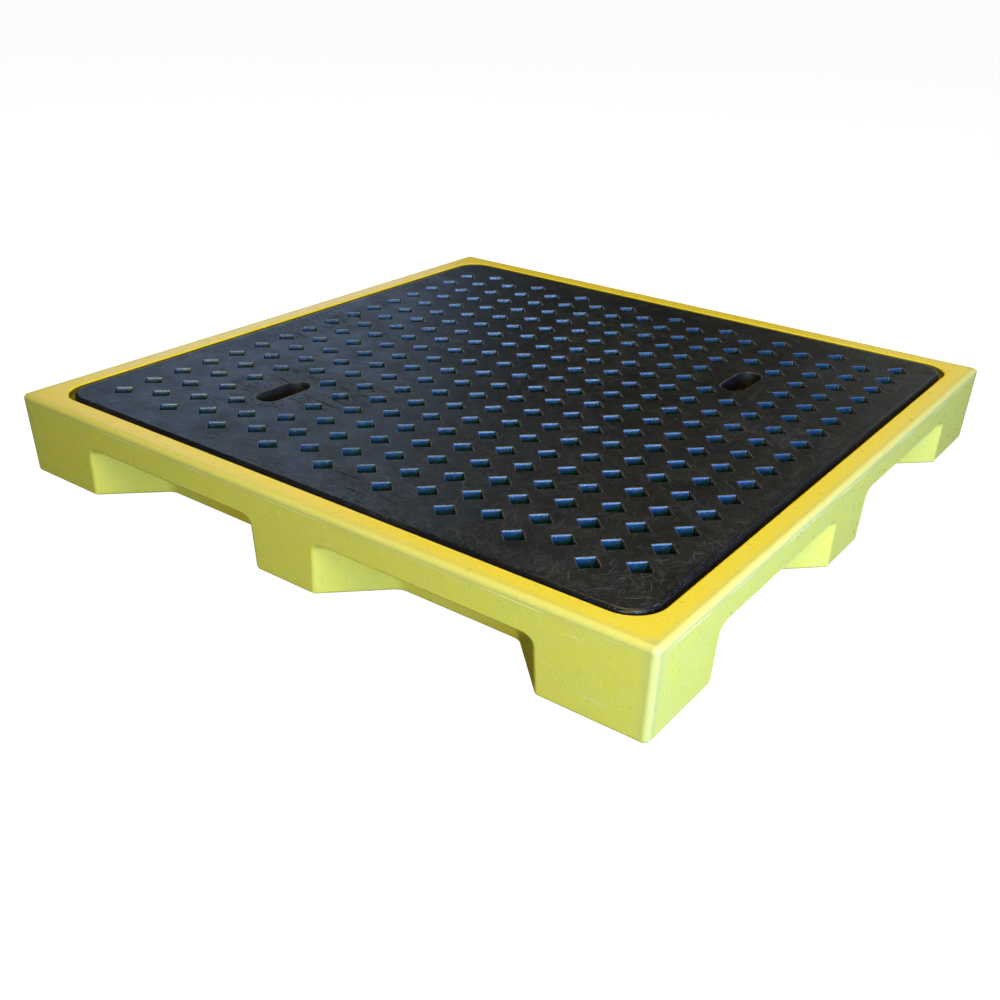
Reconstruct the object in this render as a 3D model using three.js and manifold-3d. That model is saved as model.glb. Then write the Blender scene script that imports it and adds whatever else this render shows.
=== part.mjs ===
// Low spill containment pallet: a double-walled sump tray and a perforated deck that lifts out on its legs.
// Millimetres, +Z up. The origin is the centre of the underside, on the floor.
import * as THREE from 'three';
import { mergeGeometries, mergeVertices } from 'three/addons/utils/BufferGeometryUtils.js';
import Module from 'manifold-3d';

const wasm = await Module();
wasm.setup();

// Sump tray, outside
const SIDE = 1300;              // plan size at the rim, square
const RIM_HEIGHT = 150;         // floor to rim top
const WALL_DRAFT = 5.7;         // how much further in each wall stands at the floor than at the rim
const OUTER_CORNER = 10;        // radius of the upright outer corners
const RIM_ROUND = 9;            // rounding of the rim's outer edge
const FOOT_ROUND = 6;           // rounding of the bottom edge

// Sump tray, inside
const OPENING = 1216;           // opening inside the rim, square
const OPENING_CORNER = 55;
const OPENING_DRAFT = 3;        // how much further in the inner wall stands at the sump floor
const LIP_ROUND = 4;            // rounding of the rim's inner edge
const SKIN = 6;                 // wall thickness of the moulding
const SUMP_FLOOR = 8;           // thickness of the floor, where the two skins are fused
const FLOOR_ROUND = 12;         // rounding between the sump floor and the inner wall

// Notches under the wall, two on each side, with sides that funnel in at 45 degrees
const NOTCH_OFFSET = 267;       // centre of a notch from the middle of its side
const NOTCH_MOUTH = 416;        // width at the wall, at floor level
const NOTCH_BACK = 224;         // width at the back wall, at floor level
const NOTCH_DEPTH = 100;        // rim edge to back wall, at floor level
const NOTCH_HEIGHT = 93;
const NOTCH_DRAFT = 7;          // how far each side leans in between the floor and the ceiling
const NOTCH_CORNER = 28;        // radius of the back corners, in plan
const NOTCH_CEILING_ROUND = 16;
const NOTCH_OUTREACH = 30;      // how far the cutter stands out past the rim
const FUNNEL_MITRE = Math.tan(Math.PI / 8);

// Deck, lifted out by two hand holes
const DECK_SIDE = 1200;
const DECK_CORNER = 50;
const DECK_TOP = RIM_HEIGHT;    // level with the rim
const DECK_ROUND = 7;           // rounding of the deck's top edge
const DECK_DRAFT = 3;           // how much further in the skirt stands at its bottom edge
const PLATE = 18;               // thickness around the holes
const SKIRT = 10;               // thickness of the edge that reaches down to the sump
const RIB = 8;
const FIT = 0.3;                // gap where two pieces rest on each other

// Diamond drain holes, in columns along Y, with every second column shifted by half a pitch
const COLUMNS = 18;
const HOLES_PER_COLUMN = 16;
const COLUMN_PITCH = 62.3;
const HOLE_PITCH = 67.3;
const HOLE_TOP = 21.5;          // half the diagonal at the deck's top face
const HOLE_BOTTOM = 19;         // half the diagonal at the plate's underside
const HAND_HOLE_LENGTH = 116;
const HAND_HOLE_WIDTH = 46;
// Each hand hole takes the place of four drain holes: two holes in each of two neighbouring columns.
const HAND_HOLES = [{ column: 3, hole: 2 }, { column: 13, hole: 11 }];

// Legs clipped under the deck's ribs, standing on the sump floor
const LEG_GAPS = [-6, -2, 2, 6];        // the rib that each leg is on, counted in hole columns from the middle
const LEG_ROWS = [-380, -126, 126, 380];
const LEG_RADIUS = 37.5;
const LEG_WALL = 5;
const CLIP_WIDTH = 24;                  // two tabs on top of a leg grip the rib between them
const CLIP_HEIGHT = 14;
const CLIP_THICKNESS = 4;
const HUMP_TOP = NOTCH_HEIGHT + SKIN;   // top of the humps over the notches, level with the legs' tops

// Plugs in the moulding's two vent holes, under the middle of the front and back walls
const VENT_INSET = 26;
const VENT_RADIUS = 7;
const VENT_SINK_RADIUS = 11;
const VENT_SINK_DEPTH = 2.5;

const ROUND_STEPS = 20;         // facets round a full circle on legs, plugs and vent holes

const materials = {
  yellow: new THREE.MeshStandardMaterial({ color: 0xd9cf4a, roughness: 0.45, metalness: 0, flatShading: true }),
  black: new THREE.MeshStandardMaterial({ color: 0x1c1e21, roughness: 0.5, metalness: 0, flatShading: true }),
  grey: new THREE.MeshStandardMaterial({ color: 0x2b2d30, roughness: 0.6, metalness: 0, flatShading: true }),
};

// Square outline with round corners, counter-clockwise.
function roundedSquare(half, radius, steps = 5) {
  const outline = [];
  for (let corner = 0; corner < 4; corner += 1) {
    const middle = new THREE.Vector2(half - radius, half - radius);
    middle.rotateAround(new THREE.Vector2(), (corner * Math.PI) / 2);
    for (let step = 0; step <= steps; step += 1) {
      const angle = ((corner + step / steps) * Math.PI) / 2;
      outline.push(new THREE.Vector2(Math.cos(angle), Math.sin(angle)).multiplyScalar(radius).add(middle));
    }
  }
  return outline;
}

// Closed body through outlines with equally many points, listed from the lowest to the highest.
function loft(rings) {
  const count = rings[0].outline.length;
  const positions = rings.flatMap(({ z, outline }) => outline.flatMap((point) => [point.x, point.y, z]));
  const index = [];
  for (let level = 0; level + 1 < rings.length; level += 1) {
    for (let i = 0; i < count; i += 1) {
      const a = level * count + i;
      const b = level * count + ((i + 1) % count);
      index.push(a, b, b + count, a, b + count, a + count);
    }
  }
  const last = rings.length - 1;
  for (const [a, b, c] of THREE.ShapeUtils.triangulateShape(rings[0].outline, [])) {
    index.push(c, b, a);
  }
  for (const face of THREE.ShapeUtils.triangulateShape(rings[last].outline, [])) {
    index.push(...face.map((corner) => last * count + corner));
  }
  const geometry = new THREE.BufferGeometry();
  geometry.setAttribute('position', new THREE.Float32BufferAttribute(positions, 3));
  geometry.setIndex(index);
  return geometry;
}

function toSolid(geometry) {
  const bare = geometry.clone();
  bare.deleteAttribute('normal');
  bare.deleteAttribute('uv');
  const merged = mergeVertices(bare);
  return new wasm.Manifold(new wasm.Mesh({
    numProp: 3,
    vertProperties: merged.attributes.position.array,
    triVerts: new Uint32Array(merged.index.array),
  }));
}

function toGeometry(solid) {
  const mesh = solid.getMesh();
  const geometry = new THREE.BufferGeometry();
  geometry.setAttribute('position', new THREE.BufferAttribute(mesh.vertProperties, 3));
  geometry.setIndex(new THREE.BufferAttribute(mesh.triVerts, 1));
  geometry.computeVertexNormals();
  return geometry;
}

// Quarter-round edge: for each step, how far it has gone in and how far up.
function quarterRound(radius, steps) {
  return Array.from({ length: steps + 1 }, (_, step) => {
    const angle = ((step / steps) * Math.PI) / 2;
    return { inward: radius * (1 - Math.cos(angle)), up: radius * Math.sin(angle) };
  });
}

// Outside of the tray: drafted walls, rounded rim and rounded bottom edge.
function outerBlock(shrink = 0) {
  const straightTop = RIM_HEIGHT - RIM_ROUND;
  const halfAt = (z) => SIDE / 2 - WALL_DRAFT * (1 - z / straightTop) - shrink;
  const ring = (z, inward) => ({
    z,
    outline: roundedSquare(halfAt(Math.min(z, straightTop)) - inward, Math.max(OUTER_CORNER - inward, 1), 3),
  });
  const foot = quarterRound(FOOT_ROUND, 2).reverse();
  const rim = quarterRound(RIM_ROUND, 3);
  return loft([
    ...foot.map(({ inward, up }) => ring(shrink + FOOT_ROUND - up, inward)),
    ...rim.map(({ inward, up }) => ring(straightTop - shrink + up, inward)),
  ]);
}

// Space inside the tray, from the sump floor up past the rim.
function sumpSpace() {
  const half = OPENING / 2;
  const floor = quarterRound(FLOOR_ROUND, 2).reverse();
  const lip = quarterRound(LIP_ROUND, 2);
  return loft([
    ...floor.map(({ inward, up }) => ({
      z: SUMP_FLOOR + FLOOR_ROUND - up,
      outline: roundedSquare(half - OPENING_DRAFT - inward, OPENING_CORNER - inward),
    })),
    ...lip.map(({ inward, up }) => ({
      z: RIM_HEIGHT - LIP_ROUND + up,
      outline: roundedSquare(half + inward, OPENING_CORNER + inward),
    })),
    { z: RIM_HEIGHT + 1, outline: roundedSquare(half + LIP_ROUND, OPENING_CORNER + LIP_ROUND) },
  ]);
}

// Hollow between the tray's outer and inner skins, all the way round.
function wallHollow() {
  const ring = (z, half) => ({ z, outline: roundedSquare(half, OPENING_CORNER + SKIN) });
  const half = OPENING / 2 + SKIN;
  const inner = loft([ring(0, half - OPENING_DRAFT), ring(RIM_HEIGHT, half)]);
  return toSolid(outerBlock(SKIN)).subtract(toSolid(inner));
}

// Plan of a notch at one height, seen from its wall: funnel sides, straight back and round back corners.
function notchOutline(grow) {
  const mouth = NOTCH_MOUTH / 2 + grow;
  const back = NOTCH_BACK / 2 + grow * FUNNEL_MITRE;
  const depth = NOTCH_DEPTH + grow;
  const funnelStart = depth - (mouth - back);
  const corner = NOTCH_CORNER + grow;
  const arcMiddle = back - corner * FUNNEL_MITRE;
  const steps = 3;
  const outline = [new THREE.Vector2(-mouth, -NOTCH_OUTREACH), new THREE.Vector2(mouth, -NOTCH_OUTREACH)];
  outline.push(new THREE.Vector2(mouth, funnelStart));
  for (const [side, from] of [[1, Math.PI / 4], [-1, Math.PI / 2]]) {
    for (let step = 0; step <= steps; step += 1) {
      const angle = from + ((step / steps) * Math.PI) / 4;
      const x = side * arcMiddle + corner * Math.cos(angle);
      outline.push(new THREE.Vector2(x, depth - corner + corner * Math.sin(angle)));
    }
  }
  outline.push(new THREE.Vector2(-mouth, funnelStart));
  return outline;
}

// One notch as a body, with drafted sides and a rounded ceiling. Grown by the skin, it is the hump inside.
function notchBody(grow, bottom) {
  const round = NOTCH_CEILING_ROUND + grow;
  const top = NOTCH_HEIGHT + grow;
  const lean = (z) => (NOTCH_DRAFT * Math.max(z, 0)) / NOTCH_HEIGHT;
  return loft([
    { z: bottom, outline: notchOutline(grow - lean(bottom)) },
    ...quarterRound(round, 3).map(({ inward, up }) => ({
      z: top - round + up,
      outline: notchOutline(grow - lean(top - round) - inward),
    })),
  ]);
}

// All eight notches or humps as one solid.
function allNotches(grow, bottom) {
  const bodies = [];
  for (let side = 0; side < 4; side += 1) {
    for (const offset of [-NOTCH_OFFSET, NOTCH_OFFSET]) {
      const body = notchBody(grow, bottom);
      body.translate(offset, -SIDE / 2, 0);
      body.rotateZ((side * Math.PI) / 2);
      bodies.push(body);
    }
  }
  return toSolid(mergeGeometries(bodies));
}

// Upright round bar between two heights.
function upright(radius, bottom, top, x, y) {
  const bar = new THREE.CylinderGeometry(radius, radius, top - bottom, ROUND_STEPS);
  bar.rotateX(Math.PI / 2);
  bar.translate(x, y, (bottom + top) / 2);
  return bar;
}

const ventPlaces = [-1, 1].map((side) => [0, side * (SIDE / 2 - VENT_INSET)]);
const legPlaces = LEG_ROWS.flatMap((y) => LEG_GAPS.map((gap) => [gap * COLUMN_PITCH, y]));

function makeSumpBase() {
  const humps = allNotches(SKIN, 0);
  const vents = ventPlaces.flatMap(([x, y]) => [
    toSolid(upright(VENT_RADIUS, -1, 2 * SKIN, x, y)),
    toSolid(upright(VENT_SINK_RADIUS, -1, VENT_SINK_DEPTH, x, y)),
  ]);
  const tray = toSolid(outerBlock())
    .subtract(toSolid(sumpSpace()).subtract(humps))
    .subtract(wallHollow().subtract(humps))
    .subtract(allNotches(0, -1));
  return toGeometry(vents.reduce((solid, vent) => solid.subtract(vent), tray));
}

// Outside of the deck: skirt and plate in one, with a rounded top edge.
function deckBlock() {
  const half = DECK_SIDE / 2;
  return loft([
    { z: HUMP_TOP + FIT, outline: roundedSquare(half - DECK_DRAFT, DECK_CORNER - DECK_DRAFT) },
    ...quarterRound(DECK_ROUND, 3).map(({ inward, up }) => ({
      z: DECK_TOP - DECK_ROUND + up,
      outline: roundedSquare(half - inward, DECK_CORNER - inward),
    })),
  ]);
}

// Space under the plate, inside the skirt and between the ribs.
function underDeck() {
  const half = DECK_SIDE / 2 - DECK_DRAFT - SKIRT;
  const outline = roundedSquare(half, DECK_CORNER - SKIRT, 3);
  const plateBottom = DECK_TOP - PLATE;
  const space = toSolid(loft([{ z: HUMP_TOP - 1, outline }, { z: plateBottom, outline }]));
  const ribs = [];
  for (let gap = -8; gap <= 8; gap += 2) {
    const rib = new THREE.BoxGeometry(RIB, DECK_SIDE, plateBottom - HUMP_TOP + 4);
    rib.translate(gap * COLUMN_PITCH, 0, (plateBottom + HUMP_TOP) / 2);
    ribs.push(rib);
  }
  return space.subtract(toSolid(mergeGeometries(ribs)));
}

const columnX = (column) => (column - (COLUMNS - 1) / 2) * COLUMN_PITCH;

// Every second column starts half a pitch further along.
function holeY(column, hole) {
  const shift = column % 2 === 0 ? -HOLE_PITCH / 4 : HOLE_PITCH / 4;
  return (hole - (HOLES_PER_COLUMN - 1) / 2) * HOLE_PITCH + shift;
}

function isHandHole(column, hole) {
  return HAND_HOLES.some((hand) => [0, 1].includes(column - hand.column) && [0, 1].includes(hole - hand.hole));
}

function drainHoles() {
  const holes = [];
  for (let column = 0; column < COLUMNS; column += 1) {
    for (let hole = 0; hole < HOLES_PER_COLUMN; hole += 1) {
      if (!isHandHole(column, hole)) {
        const cutter = new THREE.CylinderGeometry(HOLE_TOP, HOLE_BOTTOM, PLATE + 2, 4);
        cutter.rotateX(Math.PI / 2);
        cutter.translate(columnX(column), holeY(column, hole), DECK_TOP - PLATE / 2);
        holes.push(cutter);
      }
    }
  }
  return toSolid(mergeGeometries(holes));
}

// Oblong openings, long along Y, in the middle of the four drain holes that each one replaces.
function handHoles() {
  const radius = HAND_HOLE_WIDTH / 2;
  const straight = HAND_HOLE_LENGTH / 2 - radius;
  const shape = new THREE.Shape();
  shape.absarc(0, straight, radius, 0, Math.PI);
  shape.absarc(0, -straight, radius, Math.PI, 2 * Math.PI);
  const extrusion = { depth: PLATE + 4, bevelEnabled: false, curveSegments: 8 };
  const openings = HAND_HOLES.map(({ column, hole }) => {
    const opening = new THREE.ExtrudeGeometry(shape, extrusion);
    const y = (holeY(column, hole) + holeY(column + 1, hole + 1)) / 2;
    opening.translate((columnX(column) + columnX(column + 1)) / 2, y, DECK_TOP - PLATE - 2);
    return opening;
  });
  return toSolid(mergeGeometries(openings));
}

function makeDeckGrid() {
  const deck = toSolid(deckBlock()).subtract(underDeck()).subtract(drainHoles()).subtract(handHoles());
  return toGeometry(deck);
}

// Solid of revolution about +Z from its half section, a list of radius and height.
function turned(profile) {
  const body = new THREE.LatheGeometry(profile.map(([radius, z]) => new THREE.Vector2(radius, z)), ROUND_STEPS);
  body.rotateX(Math.PI / 2);
  return body;
}

// Round leg, closed on top and open below, with two clip tabs that stand up beside the rib.
function makeLeg() {
  const bore = LEG_RADIUS - LEG_WALL;
  const capBottom = HUMP_TOP - LEG_WALL;
  const foot = SUMP_FLOOR + FIT;
  const inside = [[0, capBottom], [bore, capBottom], [bore, foot]];
  const outside = [[LEG_RADIUS, foot], [LEG_RADIUS, HUMP_TOP], [0, HUMP_TOP]];
  const cup = turned([...inside, ...outside]);
  const tabs = [-1, 1].map((side) => {
    const tab = new THREE.BoxGeometry(CLIP_THICKNESS, CLIP_WIDTH, CLIP_HEIGHT + 1);
    return tab.translate(side * (RIB / 2 + FIT + CLIP_THICKNESS / 2), 0, HUMP_TOP + (CLIP_HEIGHT - 1) / 2);
  });
  return toGeometry(toSolid(cup).add(toSolid(mergeGeometries(tabs))));
}

// Push-in plug with a flat head, sunk in the underside.
function makeVentPlug() {
  const head = VENT_SINK_RADIUS - FIT;
  const stem = VENT_RADIUS - FIT;
  const step = VENT_SINK_DEPTH - FIT;
  const top = SKIN + 3;
  return turned([[0, FIT], [head, FIT], [head, step], [stem, step], [stem, top], [0, top]]);
}

const pallet = new THREE.Group();

function place(name, geometry, material, x = 0, y = 0) {
  const mesh = new THREE.Mesh(geometry, material);
  mesh.name = name;
  mesh.position.set(x, y, 0);
  pallet.add(mesh);
}

place('sump_base', makeSumpBase(), materials.yellow);
place('deck_grid', makeDeckGrid(), materials.black);
legPlaces.forEach(([x, y], i) => {
  place(`support_leg_${i + 1}`, makeLeg(), materials.grey, x, y);
});
ventPlaces.forEach(([x, y], i) => {
  place(`vent_plug_${i + 1}`, makeVentPlug(), materials.black, x, y);
});

export default pallet;
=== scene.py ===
"""Spill containment pallet: a yellow double-walled tray and a black perforated deck on legs.

Metres, +Z up, origin on the floor under the middle. The sizes are those of the CAD model, but here the
deck sags, its holes taper more, and a thin ridge from the mould runs along the walls.
"""
import random
from math import cos, pi, radians, sin, tan

import bmesh
import bpy
from mathutils import Matrix, Vector, noise


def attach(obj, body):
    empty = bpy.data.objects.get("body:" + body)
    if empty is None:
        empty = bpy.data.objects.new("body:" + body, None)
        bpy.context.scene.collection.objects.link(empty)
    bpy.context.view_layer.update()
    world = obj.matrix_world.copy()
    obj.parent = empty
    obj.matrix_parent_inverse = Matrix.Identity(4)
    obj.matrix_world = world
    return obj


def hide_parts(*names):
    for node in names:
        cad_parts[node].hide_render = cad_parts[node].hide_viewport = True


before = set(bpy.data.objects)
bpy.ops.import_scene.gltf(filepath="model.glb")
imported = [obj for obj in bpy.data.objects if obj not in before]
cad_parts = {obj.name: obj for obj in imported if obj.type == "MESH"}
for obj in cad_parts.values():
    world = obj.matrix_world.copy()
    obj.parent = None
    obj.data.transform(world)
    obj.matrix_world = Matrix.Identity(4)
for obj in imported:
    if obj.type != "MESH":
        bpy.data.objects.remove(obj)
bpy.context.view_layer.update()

# Tray, outside
SIDE = 1.300
RIM_HEIGHT = 0.150
WALL_DRAFT = 0.0057
OUTER_CORNER = 0.010
RIM_ROUND = 0.009
FOOT_ROUND = 0.006
MOUTH_ROUND = 0.004

# Tray, inside
OPENING = 1.216
OPENING_CORNER = 0.055
OPENING_DRAFT = 0.003
LIP_ROUND = 0.004
SKIN = 0.006
SUMP_FLOOR = 0.008
FLOOR_ROUND = 0.012

# Notches under the walls, and the humps over them inside
NOTCH_OFFSET = 0.267
NOTCH_BACK = 0.224
NOTCH_DEPTH = 0.100
NOTCH_HEIGHT = 0.093
NOTCH_DRAFT = 0.007
NOTCH_CORNER = 0.028
NOTCH_CEILING_ROUND = 0.016
NOTCH_OUTREACH = 0.030
HUMP_START = 0.020

# Ridge where the two halves of the mould met
FLASH_HEIGHT = 0.137
FLASH_WIDTH = 0.0010
FLASH_PROUD = 0.0006
FLASH_SUNK = 0.0003
FLASH_STEP = 0.012
FLASH_WAVE = 0.0008
FLASH_SEED = 4

# Deck
DECK_SIDE = 1.200
DECK_CORNER = 0.050
DECK_TOP = RIM_HEIGHT
DECK_BOTTOM = 0.0993
DECK_ROUND = 0.007
DECK_DRAFT = 0.003
DECK_SAG = 0.0055
SAG_SPREAD = 0.7
SAG_UNEVENNESS = 0.0004
SAG_START = DECK_BOTTOM + 0.005
PLATE = 0.018
SKIRT = 0.010
SKIRT_INNER_EDGE = 0.001
SKIRT_OUTER_EDGE = 0.0015
RIB = 0.008
RIB_GAPS = range(-8, 9, 2)

# Drain holes and hand holes
COLUMNS = 18
HOLES_PER_COLUMN = 16
COLUMN_PITCH = 0.0623
HOLE_PITCH = 0.0673
HOLE_LIP = 0.0232
HOLE_TOP = 0.0208
HOLE_BOTTOM = 0.0120
HOLE_CORNER = 0.0016
LIP_DEPTH = 0.0030
SLEEVE_DEPTH = 0.032
SLEEVE_WALL = 0.0035
HAND_HOLE_LENGTH = 0.116
HAND_HOLE_WIDTH = 0.046
HAND_HOLES = [(3, 2), (13, 11)]

# Material numbers on the deck, and the level in a hole's section where its wall ends
DECK_FACE, HOLE_WALL, HOLE_EDGE = range(3)
WALL_END = 4

# Legs
LEG_GAPS = [-6, -2, 2, 6]
LEG_ROWS = [-0.380, -0.126, 0.126, 0.380]
LEG_RADIUS = 0.0375
LEG_WALL = 0.005
LEG_TOP = 0.099
LEG_FOOT = 0.0083
CLIP_WIDTH = 0.024
CLIP_HEIGHT = 0.014
CLIP_THICKNESS = 0.004
FIT = 0.0003

# Vent plugs
VENT_INSET = 0.026
PLUG_HEAD = 0.0107
PLUG_STEM = 0.0067
PLUG_STEP = 0.0022
PLUG_TOP = 0.009

# Camera, and the floor's half section from its middle outwards
CAMERA_PLACE = (1.1687, -1.7030, 0.9205)
CAMERA_TURN = (63.5468, -1.5707, 36.5675)
CAMERA_LENS = 41.592
CAMERA_SENSOR = 36
FLOOR_PROFILE = [(0, 0), (40, 0), (52, 8), (58, 24), (50, 44), (0, 60)]

CORNER_STEPS = 12


# ---------------------------------------------------------------- mesh helpers

def rounded_square(half, radius, steps=CORNER_STEPS):
    """Outline of a square with round corners, counter-clockwise."""
    points = []
    for corner in range(4):
        turn = Matrix.Rotation(corner * pi / 2, 2)
        middle = Vector((half - radius, half - radius))
        for step in range(steps + 1):
            angle = step / steps * pi / 2
            points.append(turn @ (middle + radius * Vector((cos(angle), sin(angle)))))
    return points


def quarter_round(radius, steps):
    """How far in and how far up, for each step round a quarter-round edge."""
    angles = [step / steps * pi / 2 for step in range(steps + 1)]
    return [(radius * (1 - cos(angle)), radius * sin(angle)) for angle in angles]


def add_ring(bm, outline, z):
    return [bm.verts.new((x, y, z)) for x, y in outline]


def join_rings(bm, first, second):
    """Faces between two closed rings with equally many vertices."""
    count = len(first)
    for i in range(count):
        j = (i + 1) % count
        bm.faces.new((first[i], first[j], second[j], second[i]))


def join_all(bm, rings):
    for first, second in zip(rings, rings[1:]):
        join_rings(bm, first, second)


def finish_mesh(name, bm):
    mesh = bpy.data.meshes.new(name)
    bm.to_mesh(mesh)
    bm.free()
    return mesh


def make_object(name, mesh):
    piece = bpy.data.objects.new(name, mesh)
    bpy.context.scene.collection.objects.link(piece)
    return piece


def apply_modifiers(piece):
    bpy.context.view_layer.update()
    graph = bpy.context.evaluated_depsgraph_get()
    mesh = bpy.data.meshes.new_from_object(piece.evaluated_get(graph))
    piece.modifiers.clear()
    piece.data = mesh


def smooth_mesh(mesh, degrees):
    """Smooth shading, with edges sharper than the angle kept."""
    mesh.polygons.foreach_set("use_smooth", [True] * len(mesh.polygons))
    mesh.set_sharp_from_angle(angle=radians(degrees))


def smooth(piece):
    """Smooth shading that follows the large faces."""
    smooth_mesh(piece.data, 40)
    weighted = piece.modifiers.new("normals", "WEIGHTED_NORMAL")
    weighted.keep_sharp = True
    weighted.weight = 80
    apply_modifiers(piece)


def cut(piece, mesh, operation):
    tool = make_object("cutter", mesh)
    boolean = piece.modifiers.new("boolean", "BOOLEAN")
    boolean.operation = operation
    boolean.solver = "EXACT"
    boolean.object = tool
    apply_modifiers(piece)
    bpy.data.objects.remove(tool)


# ---------------------------------------------------------------- tray

def tray_shell():
    """The tray without its notches, as one skin from the underside over the rim to the sump floor."""
    bm = bmesh.new()
    half = SIDE / 2
    rings = [add_ring(bm, rounded_square(half - WALL_DRAFT, OUTER_CORNER), 0)]
    for inward, up in quarter_round(RIM_ROUND, 8):
        outline = rounded_square(half - inward, max(OUTER_CORNER - inward, 0.001))
        rings.append(add_ring(bm, outline, RIM_HEIGHT - RIM_ROUND + up))
    half = OPENING / 2
    for inward, up in reversed(quarter_round(LIP_ROUND, 5)):
        outline = rounded_square(half + inward, OPENING_CORNER + inward)
        rings.append(add_ring(bm, outline, RIM_HEIGHT - LIP_ROUND + up))
    for inward, up in quarter_round(FLOOR_ROUND, 5):
        outline = rounded_square(half - OPENING_DRAFT - inward, OPENING_CORNER - inward)
        rings.append(add_ring(bm, outline, SUMP_FLOOR + FLOOR_ROUND - up))
    join_all(bm, rings)
    bm.faces.new(list(reversed(rings[0])))
    bm.faces.new(rings[-1])
    return finish_mesh("tray", bm)


def notch_outline(grow, start):
    """Plan of a notch from the given depth inwards, with sides that funnel in at 45 degrees."""
    mitre = tan(pi / 8)
    back = NOTCH_BACK / 2 + grow * mitre
    depth = NOTCH_DEPTH + grow
    corner = NOTCH_CORNER + grow
    middle = back - corner * mitre
    reach = back + depth - start
    steps = 8
    points = [(-reach, start), (reach, start)]
    for side, first in ((1, pi / 4), (-1, pi / 2)):
        for step in range(steps + 1):
            angle = first + step / steps * pi / 4
            points.append((side * middle + corner * cos(angle), depth - corner + corner * sin(angle)))
    return points


def notch_bodies(grow, start, bottom):
    """Eight notches, or the humps over them where they are grown by the skin."""
    bm = bmesh.new()
    top = NOTCH_HEIGHT + grow
    rounding = NOTCH_CEILING_ROUND + grow
    ceiling = quarter_round(rounding, 8)
    levels = [(bottom, 0)] + [(top - rounding + up, inward) for inward, up in ceiling]
    for side in range(4):
        for offset in (-NOTCH_OFFSET, NOTCH_OFFSET):
            place = Matrix.Rotation(side * pi / 2, 2)
            rings = []
            for z, inward in levels:
                lean = NOTCH_DRAFT * max(min(z, top - rounding), 0) / NOTCH_HEIGHT
                outline = notch_outline(grow - lean - inward, start)
                placed = [place @ Vector((x + offset, y - SIDE / 2)) for x, y in outline]
                rings.append(add_ring(bm, placed, z))
            join_all(bm, rings)
            bm.faces.new(list(reversed(rings[0])))
            bm.faces.new(rings[-1])
    return finish_mesh("notches", bm)


def wall_distance(point):
    """How far a point lies inside the tray's outer wall."""
    straight_top = RIM_HEIGHT - RIM_ROUND
    half = SIDE / 2 - WALL_DRAFT * (1 - point.z / straight_top)
    return half - max(abs(point.x), abs(point.y))


def round_notch_edges(piece):
    """Rounds the edges of the feet and of the notch mouths."""
    sharp = radians(25)
    on_floor = 1e-5
    on_wall = 1e-4
    mouth_top = NOTCH_HEIGHT + 0.01
    bm = bmesh.new()
    bm.from_mesh(piece.data)
    bmesh.ops.remove_doubles(bm, verts=bm.verts, dist=1e-6)
    weight = bm.edges.layers.float.new("bevel_weight_edge")
    for edge in bm.edges:
        if len(edge.link_faces) != 2 or edge.calc_face_angle(0) < sharp:
            continue
        ends = [vert.co for vert in edge.verts]
        if all(end.z < on_floor for end in ends):
            edge[weight] = 1.0
        elif all(abs(wall_distance(end)) < on_wall and end.z < mouth_top for end in ends):
            edge[weight] = MOUTH_ROUND / FOOT_ROUND
    bm.to_mesh(piece.data)
    bm.free()
    bevel = piece.modifiers.new("rounding", "BEVEL")
    bevel.limit_method = "WEIGHT"
    bevel.width = FOOT_ROUND
    bevel.segments = 4
    bevel.use_clamp_overlap = False
    apply_modifiers(piece)


def make_tray():
    tray = make_object("tray", tray_shell())
    cut(tray, notch_bodies(SKIN, HUMP_START, 0.002), "UNION")
    cut(tray, notch_bodies(0, -NOTCH_OUTREACH, -0.01), "DIFFERENCE")
    round_notch_edges(tray)
    smooth(tray)
    return tray


def make_flash():
    """Broken thin ridges along the outer walls, where the mould's halves met."""
    rng = random.Random(FLASH_SEED)
    bm = bmesh.new()
    half = SIDE / 2 - WALL_DRAFT * (1 - FLASH_HEIGHT / (RIM_HEIGHT - RIM_ROUND))
    for side in range(4):
        turn = Matrix.Rotation(side * pi / 2, 3, "Z")
        x = -half + OUTER_CORNER + 0.01
        while x < half - OUTER_CORNER - 0.03:
            length = min(rng.uniform(0.02, 0.20), half - OUTER_CORNER - 0.01 - x)
            steps = max(4, int(length / FLASH_STEP))
            proud = FLASH_PROUD * rng.uniform(0.4, 1.0)
            lines = []
            for step in range(steps + 1):
                taper = min(1, 4 * min(step, steps - step) / steps)
                wave = FLASH_WAVE * noise.noise(Vector(((x + step * 0.01) * 14, side * 7.0, 0)))
                z = FLASH_HEIGHT + wave
                at = x + length * step / steps
                width = FLASH_WIDTH * (0.15 + 0.85 * taper) / 2
                root = -half + FLASH_SUNK
                points = [(at, root, z - width), (at, -half - proud * taper, z), (at, root, z + width)]
                lines.append([bm.verts.new(turn @ Vector(point)) for point in points])
            for near, far in zip(lines, lines[1:]):
                for i in range(2):
                    bm.faces.new((near[i], far[i], far[i + 1], near[i + 1]))
            x += length + rng.uniform(0.004, 0.07)
    piece = make_object("parting_flash", finish_mesh("parting_flash", bm))
    piece.data.polygons.foreach_set("use_smooth", [True] * len(piece.data.polygons))
    return piece


# ---------------------------------------------------------------- deck

def column_x(column):
    return (column - (COLUMNS - 1) / 2) * COLUMN_PITCH


def hole_y(column, hole):
    """Every second column starts half a pitch further along."""
    shift = -HOLE_PITCH / 4 if column % 2 == 0 else HOLE_PITCH / 4
    return (hole - (HOLES_PER_COLUMN - 1) / 2) * HOLE_PITCH + shift


def is_hand_hole(column, hole):
    return any(column - c in (0, 1) and hole - h in (0, 1) for c, h in HAND_HOLES)


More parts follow.
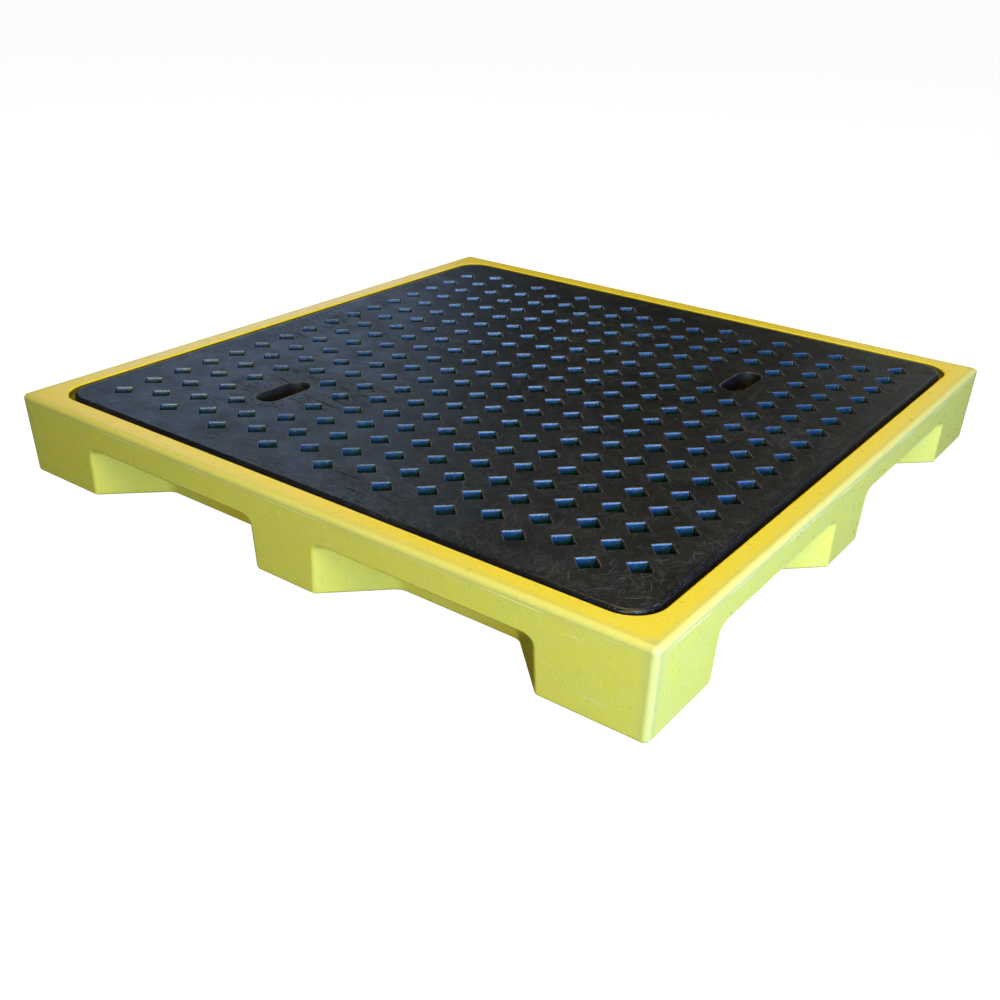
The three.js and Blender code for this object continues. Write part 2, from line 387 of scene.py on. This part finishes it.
def diamond(half_diagonal, radius):
    """Square standing on its corner, with slightly rounded corners."""
    turn = Matrix.Rotation(pi / 4, 2)
    return [turn @ point for point in rounded_square(half_diagonal / 2 ** 0.5, radius, 3)]


def oblong(grow):
    """Outline of a hand hole, long along Y."""
    radius = HAND_HOLE_WIDTH / 2 + grow
    straight = (HAND_HOLE_LENGTH - HAND_HOLE_WIDTH) / 2
    steps = 16
    points = []
    for end in (1, -1):
        for step in range(steps + 1):
            angle = (0 if end > 0 else pi) + step / steps * pi
            points.append((radius * cos(angle), end * straight + radius * sin(angle)))
    return points


def hole_section(kind):
    """Outlines of a hole from the deck's face down its lip and wall, then up round its sleeve."""
    lip = [(LIP_DEPTH * (1 - cos(a)), LIP_DEPTH * sin(a)) for a in (0, pi / 7, pi / 3, pi / 2)]
    section = []
    if kind == "drain":
        for down, inward in lip:
            share = inward / LIP_DEPTH
            half = HOLE_LIP - (HOLE_LIP - HOLE_TOP) * share
            section.append((diamond(half, HOLE_CORNER + 0.001 * (1 - share)), -down))
        section.append((diamond(HOLE_BOTTOM, HOLE_CORNER), -SLEEVE_DEPTH))
        section.append((diamond(HOLE_BOTTOM + SLEEVE_WALL, HOLE_CORNER + 0.001), -SLEEVE_DEPTH))
        section.append((diamond(HOLE_TOP + SLEEVE_WALL + 0.001, HOLE_CORNER + 0.001), -PLATE))
    else:
        for down, inward in lip:
            section.append((oblong(LIP_DEPTH - inward), -down))
        section.append((oblong(-0.001), -SLEEVE_DEPTH))
        section.append((oblong(SLEEVE_WALL), -SLEEVE_DEPTH))
        section.append((oblong(SLEEVE_WALL + 0.001), -PLATE))
    return section


def fill_between(bm, rings, up):
    """A flat face with holes in it."""
    edges = []
    for ring in rings:
        edges += [bm.edges.get((a, b)) for a, b in zip(ring, ring[1:] + ring[:1])]
    made = bmesh.ops.triangle_fill(bm, use_beauty=True, use_dissolve=False, edges=edges)
    for face in made["geom"]:
        if isinstance(face, bmesh.types.BMFace):
            face.normal_update()
            if (face.normal.z > 0) != up:
                face.normal_flip()


def add_block(bm, low, high):
    corners = [(x, y, z) for z in (low[2], high[2]) for x, y in
               ((low[0], low[1]), (high[0], low[1]), (high[0], high[1]), (low[0], high[1]))]
    verts = [bm.verts.new(corner) for corner in corners]
    join_rings(bm, verts[:4], verts[4:])
    bm.faces.new(verts[3::-1])
    bm.faces.new(verts[4:])


def sag(x, y):
    """Height change of the deck, which has sunk in the middle and is a little uneven."""
    middle = cos(pi * x / DECK_SIDE) * cos(pi * y / DECK_SIDE)
    uneven = SAG_UNEVENNESS * noise.noise(Vector((x * 3.1, y * 3.1, 2.0)))
    return uneven - DECK_SAG * max(middle, 0) ** SAG_SPREAD


def hole_places():
    """Middle, section and wall material of every hole."""
    drain = hole_section("drain")
    hand = hole_section("hand")
    places = []
    for column in range(COLUMNS):
        for hole in range(HOLES_PER_COLUMN):
            if not is_hand_hole(column, hole):
                places.append((column_x(column), hole_y(column, hole), drain, HOLE_WALL))
    for column, hole in HAND_HOLES:
        x = (column_x(column) + column_x(column + 1)) / 2
        y = (hole_y(column, hole) + hole_y(column + 1, hole + 1)) / 2
        places.append((x, y, hand, DECK_FACE))
    return places


def level_material(level, wall):
    if level == 0:
        return HOLE_EDGE
    return wall if level < WALL_END else DECK_FACE


def add_holes(bm):
    """The holes' walls and sleeves, with their top rings, their bottom rings and each face's material."""
    tops, bottoms, inside = [], [], {}
    for x, y, section, wall in hole_places():
        rings = []
        for outline, z in section:
            rings.append(add_ring(bm, [(x + px, y + py) for px, py in outline], DECK_TOP + z))
        before = len(bm.faces)
        join_all(bm, [list(reversed(ring)) for ring in reversed(rings)])
        bm.faces.ensure_lookup_table()
        sides = len(section[0][0])
        for index in range(before, len(bm.faces)):
            level = len(rings) - 2 - (index - before) // sides
            inside[bm.faces[index]] = level_material(level, wall)
        tops.append(rings[0])
        bottoms.append(rings[-1])
    return tops, bottoms, inside


def add_deck_side(bm):
    """Rings from the plate's underside down inside the skirt and up outside it to the deck's face."""
    half = DECK_SIDE / 2
    inset = DECK_DRAFT + SKIRT
    levels = [
        (inset, SKIRT, DECK_TOP - PLATE),
        (inset, SKIRT, DECK_BOTTOM + SKIRT_INNER_EDGE),
        (inset - SKIRT_INNER_EDGE, SKIRT, DECK_BOTTOM),
        (DECK_DRAFT + SKIRT_OUTER_EDGE, DECK_DRAFT, DECK_BOTTOM),
        (DECK_DRAFT, DECK_DRAFT, DECK_BOTTOM + SKIRT_OUTER_EDGE),
    ]
    for inward, up in quarter_round(DECK_ROUND, 7):
        levels.append((inward, inward, DECK_TOP - DECK_ROUND + up))
    rings = []
    for inward, off_corner, z in levels:
        rings.append(add_ring(bm, rounded_square(half - inward, DECK_CORNER - off_corner), z))
    join_all(bm, rings)
    return rings


def add_ribs(bm):
    reach = DECK_SIDE / 2 - DECK_DRAFT - SKIRT - 0.0005
    for gap in RIB_GAPS:
        x = gap * COLUMN_PITCH
        low = (x - RIB / 2, -reach, DECK_BOTTOM)
        high = (x + RIB / 2, reach, DECK_TOP - PLATE + 0.001)
        add_block(bm, low, high)


def make_deck():
    bm = bmesh.new()
    tops, bottoms, inside = add_holes(bm)
    rings = add_deck_side(bm)
    for face, index in inside.items():
        face.material_index = index
    fill_between(bm, [rings[-1]] + tops, True)
    fill_between(bm, [rings[0]] + bottoms, False)
    add_ribs(bm)
    for vert in bm.verts:
        if vert.co.z > SAG_START:
            vert.co.z += sag(vert.co.x, vert.co.y)
    deck = make_object("deck", finish_mesh("deck", bm))
    smooth(deck)
    return deck


# ---------------------------------------------------------------- legs and plugs

def turned(bm, profile, steps=40):
    """Solid of revolution about +Z from its half section, which starts and ends on the axis."""
    inner = profile[1:-1]
    rings = []
    for radius, z in inner:
        angles = [step / steps * 2 * pi for step in range(steps)]
        rings.append([bm.verts.new((radius * cos(a), radius * sin(a), z)) for a in angles])
    join_all(bm, [list(reversed(ring)) for ring in reversed(rings)])
    start = bm.verts.new((0, 0, profile[0][1]))
    end = bm.verts.new((0, 0, profile[-1][1]))
    for i in range(steps):
        j = (i + 1) % steps
        bm.faces.new((start, rings[0][j], rings[0][i]))
        bm.faces.new((end, rings[-1][i], rings[-1][j]))


def leg_mesh():
    bm = bmesh.new()
    bore = LEG_RADIUS - LEG_WALL
    cap = LEG_TOP - LEG_WALL
    edge = 0.0012
    turned(bm, [
        (0, cap), (bore - edge, cap), (bore, cap - edge),
        (bore, LEG_FOOT + edge), (bore + edge, LEG_FOOT),
        (LEG_RADIUS - edge, LEG_FOOT), (LEG_RADIUS, LEG_FOOT + edge),
        (LEG_RADIUS, LEG_TOP - edge), (LEG_RADIUS - edge, LEG_TOP), (0, LEG_TOP),
    ])
    for side in (-1, 1):
        near = RIB / 2 + FIT
        low, high = sorted((side * near, side * (near + CLIP_THICKNESS)))
        start = (low, -CLIP_WIDTH / 2, LEG_TOP - 0.001)
        end = (high, CLIP_WIDTH / 2, LEG_TOP + CLIP_HEIGHT)
        add_block(bm, start, end)
    return finish_mesh("leg", bm)


def plug_mesh():
    bm = bmesh.new()
    edge = 0.0006
    turned(bm, [
        (0, FIT), (PLUG_HEAD - edge, FIT), (PLUG_HEAD, FIT + edge), (PLUG_HEAD, PLUG_STEP),
        (PLUG_STEM, PLUG_STEP), (PLUG_STEM, PLUG_TOP - edge),
        (PLUG_STEM - edge, PLUG_TOP), (0, PLUG_TOP),
    ], 32)
    return finish_mesh("plug", bm)


# ---------------------------------------------------------------- materials

class Shader:
    """A material's node tree, with short calls for the nodes used below."""

    def __init__(self, name):
        self.material = bpy.data.materials.new(name)
        self.material.use_nodes = True
        self.tree = self.material.node_tree
        self.surface = self.tree.nodes["Principled BSDF"]
        self.position = self.node("ShaderNodeTexCoord").outputs["Object"]
        self.axes = self.split(self.position)

    def node(self, kind, **settings):
        made = self.tree.nodes.new(kind)
        for key, value in settings.items():
            setattr(made, key, value)
        return made

    def link(self, source, target):
        self.tree.links.new(source, target)

    def split(self, vector):
        made = self.node("ShaderNodeSeparateXYZ")
        self.link(vector, made.inputs["Vector"])
        return made.outputs

    def facing(self):
        """The direction the surface faces, by axis."""
        return self.split(self.node("ShaderNodeNewGeometry").outputs["Normal"])

    def upward(self):
        """How far the surface faces up."""
        return self.facing()["Z"]

    def border(self, half, corner):
        """Distance in plan from a square with round corners, negative inside it."""
        squares = []
        for axis in ("X", "Y"):
            beyond = self.math("SUBTRACT", self.math("ABSOLUTE", self.axes[axis], 0), half - corner)
            squares.append(self.math("POWER", self.math("MAXIMUM", beyond, 0), 2))
        return self.math("SUBTRACT", self.math("SQRT", self.math("ADD", *squares), 0), corner)

    def stretched(self, scale, turn=0.0):
        """Position turned about Z and then stretched, for streaks along the turned X axis."""
        mapping = self.node("ShaderNodeMapping", vector_type="TEXTURE")
        mapping.inputs["Scale"].default_value = [1 / number for number in scale]
        mapping.inputs["Rotation"].default_value = (0, 0, turn)
        self.link(self.position, mapping.inputs["Vector"])
        return mapping.outputs["Vector"]

    def noise(self, scale, detail=2.0, rough=0.5, vector=None, distortion=0.0):
        made = self.node("ShaderNodeTexNoise")
        made.inputs["Scale"].default_value = scale
        made.inputs["Detail"].default_value = detail
        made.inputs["Roughness"].default_value = rough
        made.inputs["Distortion"].default_value = distortion
        self.link(vector or self.position, made.inputs["Vector"])
        return made.outputs["Fac"]

    def range(self, value, low, high, to_low=0.0, to_high=1.0):
        made = self.node("ShaderNodeMapRange", interpolation_type="SMOOTHSTEP")
        limits = {"From Min": low, "From Max": high, "To Min": to_low, "To Max": to_high}
        for key, number in limits.items():
            made.inputs[key].default_value = number
        self.link(value, made.inputs["Value"])
        return made.outputs["Result"]

    def math(self, operation, first, second):
        made = self.node("ShaderNodeMath", operation=operation)
        for socket, value in zip(made.inputs, (first, second)):
            if isinstance(value, (int, float)):
                socket.default_value = value
            else:
                self.link(value, socket)
        return made.outputs["Value"]

    def mix(self, factor, first, second):
        made = self.node("ShaderNodeMix", data_type="RGBA")
        self.link(factor, made.inputs["Factor"])
        for socket, value in ((made.inputs[6], first), (made.inputs[7], second)):
            if isinstance(value, tuple):
                socket.default_value = (*value, 1)
            else:
                self.link(value, socket)
        return made.outputs[2]

    def bump(self, height, distance, strength=1.0, under=None):
        made = self.node("ShaderNodeBump")
        made.inputs["Distance"].default_value = distance
        made.inputs["Strength"].default_value = strength
        self.link(height, made.inputs["Height"])
        if under is not None:
            self.link(under, made.inputs["Normal"])
        return made.outputs["Normal"]

    def set(self, **values):
        for key, value in values.items():
            socket = self.surface.inputs[key.replace("_", " ")]
            if isinstance(value, (int, float)):
                socket.default_value = value
            else:
                self.link(value, socket)


def tray_material():
    """Rotomoulded polyethylene with painted light: warm on top, paler down the walls, paler highlights on
    the rim's rounding and corners, a lit lip, and painted shade in the gap round the deck.
    """
    s = Shader("tray_yellow")
    mottle = s.range(s.noise(330, 3, 0.7), 0.34, 0.66)
    # Painted light: a warm yellow where the surface faces up and a paler, greener yellow down the walls,
    # for warm light from above and cool light on the sides.
    top = s.mix(mottle, (0.84, 0.66, 0.040), (0.90, 0.75, 0.085))
    side = s.mix(mottle, (0.73, 0.68, 0.100), (0.79, 0.76, 0.170))
    colour = s.mix(s.range(s.upward(), 0.45, 0.98), side, top)
    patches = s.range(s.noise(26, 4, 0.65), 0.36, 0.66)
    colour = s.mix(s.math("MULTIPLY", patches, 0.40), colour, (0.84, 0.72, 0.075))
    # Painted highlight: a paler band along the rim's outer rounding, fading out down the wall.
    edge = s.range(s.border(SIDE / 2, 0.030), -0.022, -0.005)
    edge = s.math("MULTIPLY", edge, s.range(s.axes["Z"], 0.128, RIM_HEIGHT - 0.006, 0.0, 0.75))
    colour = s.mix(edge, colour, (0.70, 0.65, 0.19))
    # Painted highlight: paler up the tray's four vertical corners.
    across = [s.math("ABSOLUTE", s.axes[axis], 0) for axis in ("X", "Y")]
    corner = s.range(s.math("MINIMUM", *across), SIDE / 2 - 0.030, SIDE / 2 - 0.006, 0.0, 0.7)
    colour = s.mix(corner, colour, (0.60, 0.60, 0.20))
    # Painted light: a more saturated yellow on the upward-facing rounding of the opening's lip, for a
    # strongly lit edge.
    lip = s.range(s.border(OPENING / 2, OPENING_CORNER), 0.0035, 0.0055, 1.0, 0.0)
    lip = s.math("MULTIPLY", lip, s.range(s.axes["Z"], 0.134, 0.142))
    # Painted shade: dark brown down the opening's inner wall, in the gap round the deck.
    painted_gap_shade = s.math("MULTIPLY", lip, s.range(s.upward(), 0.35, 0.65, 0.9, 0.0))
    lip = s.math("MULTIPLY", lip, s.range(s.upward(), 0.45, 0.75))
    colour = s.mix(lip, colour, (0.90, 0.69, 0.020))
    colour = s.mix(painted_gap_shade, colour, (0.14, 0.10, 0.015))
    streaks = s.noise(1, 3, 0.6, s.stretched((9, 160, 160), radians(4)))
    rubbed = s.math("MULTIPLY", s.range(streaks, 0.60, 0.72), s.range(s.noise(4, 1, 0.5), 0.45, 0.65))
    sideways = s.math("ABSOLUTE", s.facing()["X"], 0)
    rubbed = s.math("MULTIPLY", rubbed, s.range(sideways, 0.3, 0.7, 1.0, 0.0))
    colour = s.mix(s.math("MULTIPLY", rubbed, 0.35), colour, (0.88, 0.80, 0.50))
    s.set(Base_Color=colour)
    dull = s.math("ADD", s.noise(40, 3, 0.6), s.math("MULTIPLY", rubbed, 0.3))
    gloss = s.range(dull, 0.3, 1.0, 0.27, 0.48)
    s.set(Roughness=s.math("ADD", gloss, s.math("MULTIPLY", lip, 0.3)))
    s.set(IOR=1.5, Subsurface_Weight=0.08, Subsurface_Scale=0.004)
    peel = s.bump(s.noise(260, 2, 0.5), 0.00014)
    s.set(Normal=s.bump(s.noise(14, 1, 0.5), 0.0010, 0.5, peel))
    return s.material


def flash_material():
    """Pale yellow, for the thin ridge."""
    s = Shader("flash_pale")
    colour = s.mix(s.noise(220, 2, 0.6), (0.86, 0.80, 0.30), (0.95, 0.93, 0.66))
    s.set(Base_Color=colour, Roughness=0.5)
    return s.material


def scratches(s, turn):
    """Thin streaks in one direction, in loose groups and along the deck's edge."""
    streak = s.noise(1, 1, 0.4, s.stretched((24, 800, 800), turn), distortion=0.15)
    groups = s.range(s.noise(7 + turn, 2, 0.5), 0.53, 0.68)
    edge = s.range(s.border(DECK_SIDE / 2, DECK_CORNER), -0.090, -0.030, 0.0, 0.6)
    lines = s.range(streak, 0.67, 0.72)
    edge = s.math("MULTIPLY", edge, s.range(s.upward(), 0.90, 0.98))
    return s.math("MULTIPLY", lines, s.math("MAXIMUM", groups, edge))


def deck_material():
    """Black polyethylene with a fine grain, dull black marks and pale scratches."""
    s = Shader("deck_black")
    film = s.range(s.noise(5, 4, 0.6), 0.35, 0.68)
    colour = s.mix(film, (0.0055, 0.006, 0.008), (0.009, 0.010, 0.014))
    grain = s.range(s.noise(700, 1, 0.6), 0.45, 0.72)
    colour = s.mix(s.math("MULTIPLY", grain, 0.45), colour, (0.022, 0.026, 0.036))
    flecks = s.range(s.noise(1, 3, 0.75, s.stretched((70, 230, 100), radians(-10)), 0.5), 0.57, 0.63)
    streaks = s.range(s.noise(1, 3, 0.7, s.stretched((7, 120, 100), radians(-4)), 0.3), 0.60, 0.66)
    areas = s.range(s.noise(4.5, 2, 0.5), 0.49, 0.60)
    marks = s.math("MULTIPLY", s.math("MAXIMUM", flecks, streaks), areas)
    colour = s.mix(marks, colour, (0.003, 0.003, 0.003))
    lines = scratches(s, radians(35))
    for turn in (8, 62, 95, 121, 150):
        lines = s.math("MAXIMUM", lines, scratches(s, radians(turn)))
    colour = s.mix(s.math("MULTIPLY", lines, 0.40), colour, (0.20, 0.24, 0.32))
    s.set(Base_Color=colour)
    worn = s.range(s.border(DECK_SIDE / 2, DECK_CORNER), -0.012, -0.004, 0.0, 0.16)
    gloss = s.math("SUBTRACT", s.range(s.noise(18, 3, 0.6), 0.2, 0.8, 0.38, 0.52), worn)
    s.set(Roughness=s.math("ADD", gloss, s.math("MULTIPLY", marks, 0.55)), IOR=1.5)
    grainy = s.bump(s.noise(300, 2, 0.6), 0.00012)
    s.set(Normal=s.bump(lines, 0.0001, 0.7, grainy))
    return s.material


def hole_material():
    """The holes' smooth walls, with painted light: a painted reflection in blue on the sides that face +X
    and -Y, black on the others, painted shade darker down the hole and a painted highlight paler on the
    shoulder.
    """
    s = Shader("hole_walls")
    below = s.math("SUBTRACT", s.axes["Z"], DECK_TOP)
    # Painted shade: the blue darkens to near black further down the hole.
    lower = s.range(below, -0.030, -0.006)
    colour = s.mix(lower, (0.001, 0.007, 0.020), (0.007, 0.044, 0.115))
    # Painted highlight: a paler blue where the wall turns up into the lip.
    colour = s.mix(s.range(s.upward(), 0.28, 0.55), colour, (0.045, 0.120, 0.240))
    colour = s.mix(s.range(s.noise(300, 3, 0.6), 0.45, 0.75), colour, (0.006, 0.024, 0.055))
    # Painted reflection: the walls that face +X and -Y keep the blue, the others are black.
    normal = s.facing()
    lit_side = s.range(s.math("SUBTRACT", normal["X"], normal["Y"]), 0.1, 1.0)
    colour = s.mix(lit_side, (0.004, 0.004, 0.005), colour)
    gloss = s.range(s.noise(90, 2, 0.5), 0.3, 0.7, 0.18, 0.30)
    s.set(Base_Color=colour, Roughness=gloss, IOR=1.5)
    s.set(Normal=s.bump(s.noise(1, 2, 0.5, s.stretched((240, 240, 30))), 0.0002))
    return s.material


def lip_material():
    """The holes' top edges, scuffed to a greyish brown."""
    s = Shader("hole_lips")
    scuffs = s.range(s.noise(160, 3, 0.6), 0.35, 0.65)
    colour = s.mix(scuffs, (0.045, 0.042, 0.040), (0.150, 0.136, 0.118))
    s.set(Base_Color=colour, Roughness=0.45, IOR=1.5)
    return s.material


def black_material(name, light):
    """Plain black moulded plastic with a fine grain."""
    s = Shader(name)
    colour = s.mix(s.noise(60, 4, 0.6), (0.7 * light,) * 3, (1.3 * light,) * 3)
    gloss = s.range(s.noise(35, 3, 0.6), 0.3, 0.7, 0.42, 0.60)
    s.set(Base_Color=colour, Roughness=gloss, IOR=1.5)
    s.set(Normal=s.bump(s.noise(320, 2, 0.6), 0.00015))
    return s.material


def floor_material():
    """White that glows, so that the floor shows no shadow."""
    s = Shader("floor_white")
    colour = s.mix(s.noise(2, 2, 0.5), (0.38, 0.38, 0.38), (0.42, 0.42, 0.42))
    s.set(Base_Color=colour, Roughness=0.9, Emission_Strength=0.97)
    s.surface.inputs["Emission Color"].default_value = (1, 1, 1, 1)
    return s.material


# ---------------------------------------------------------------- pieces

def add_piece(piece, body, slot, materials, *nodes):
    for material in materials:
        piece.data.materials.append(material)
    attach(piece, body)
    if nodes:
        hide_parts(*nodes)


def add_legs():
    mesh = leg_mesh()
    mesh.materials.append(black_material("leg_black", 0.04))
    smooth_mesh(mesh, 50)
    number = 0
    for row in LEG_ROWS:
        for gap in LEG_GAPS:
            number += 1
            piece = make_object(f"leg_{number}", mesh)
            piece.location = (gap * COLUMN_PITCH, row, 0)
            add_piece(piece, "deck", "leg_black", [], f"support_leg_{number}")


def add_plugs():
    mesh = plug_mesh()
    mesh.materials.append(black_material("plug_black", 0.05))
    smooth_mesh(mesh, 50)
    for number, side in ((1, -1), (2, 1)):
        piece = make_object(f"plug_{number}", mesh)
        piece.location = (0, side * (SIDE / 2 - VENT_INSET), 0)
        add_piece(piece, "sump", "plug_black", [], f"vent_plug_{number}")


deck_materials = [deck_material(), hole_material(), lip_material()]
add_piece(make_tray(), "sump", "tray_yellow", [tray_material()], "sump_base")
add_piece(make_flash(), "sump", "tray_yellow", [flash_material()])
add_piece(make_deck(), "deck", "deck_black", deck_materials, "deck_grid")
add_legs()
add_plugs()


# ---------------------------------------------------------------- floor, light and camera

def make_floor():
    """White floor that curves up far away into a dome, so the background is plain all round."""
    bm = bmesh.new()
    turned(bm, FLOOR_PROFILE, 48)
    floor = make_object("floor", finish_mesh("floor", bm))
    floor.data.materials.append(floor_material())
    floor.visible_diffuse = False
    floor.visible_glossy = False


def add_area(name, place, size, power, colour, reflected=True):
    """Round soft light aimed at the tray. A light that isn't reflected leaves no glare on the deck."""
    light = bpy.data.lights.new(name, "AREA")
    light.shape = "DISK"
    light.size = size
    light.energy = power
    light.color = colour
    lamp = bpy.data.objects.new(name, light)
    bpy.context.scene.collection.objects.link(lamp)
    lamp.visible_camera = False
    lamp.visible_glossy = reflected
    lamp.location = place
    lamp.rotation_euler = (Vector((0, 0, 0.1)) - Vector(place)).to_track_quat("-Z", "Y").to_euler()


def light_scene():
    """Warm light from above, blue from the right and the far left, pale from the other sides."""
    world = bpy.data.worlds.new("studio")
    world.use_nodes = True
    world.node_tree.nodes["Background"].inputs["Strength"].default_value = 0.01
    bpy.context.scene.world = world
    add_area("overhead", (0, 0, 3.2), 2.0, 33, (1.0, 0.68, 0.14))
    add_area("overhead_right", (2.0, -1.5, 2.6), 1.6, 44, (1.0, 0.93, 0.18))
    add_area("right", (3.6, -0.6, 0.8), 1.4, 150, (0.34, 0.44, 1.0), False)
    add_area("front_right", (2.7, -1.8, 0.75), 1.1, 85, (0.30, 0.50, 1.0))
    add_area("front", (1.2, -2.8, 0.8), 1.0, 33, (1.0, 0.97, 0.52))
    add_area("far_left", (-3.3, 2.2, 1.0), 2.2, 18, (0.45, 0.65, 1.0))
    add_area("far_right", (0.3, 3.8, 1.0), 2.2, 5, (0.9, 1.0, 0.9))
    add_area("back", (0.3, 3.8, 1.2), 2.2, 60, (1.0, 0.92, 0.60), False)
    add_area("left", (-3.6, 0.2, 1.1), 1.6, 45, (1.0, 0.95, 0.70), False)


def add_camera():
    camera = bpy.data.cameras.new("camera")
    camera.sensor_width = CAMERA_SENSOR
    camera.lens = CAMERA_LENS
    holder = bpy.data.objects.new("camera", camera)
    bpy.context.scene.collection.objects.link(holder)
    holder.location = CAMERA_PLACE
    holder.rotation_euler = [radians(angle) for angle in CAMERA_TURN]
    bpy.context.scene.camera = holder


make_floor()
light_scene()
add_camera()
bpy.context.scene.view_settings.view_transform = "Standard"
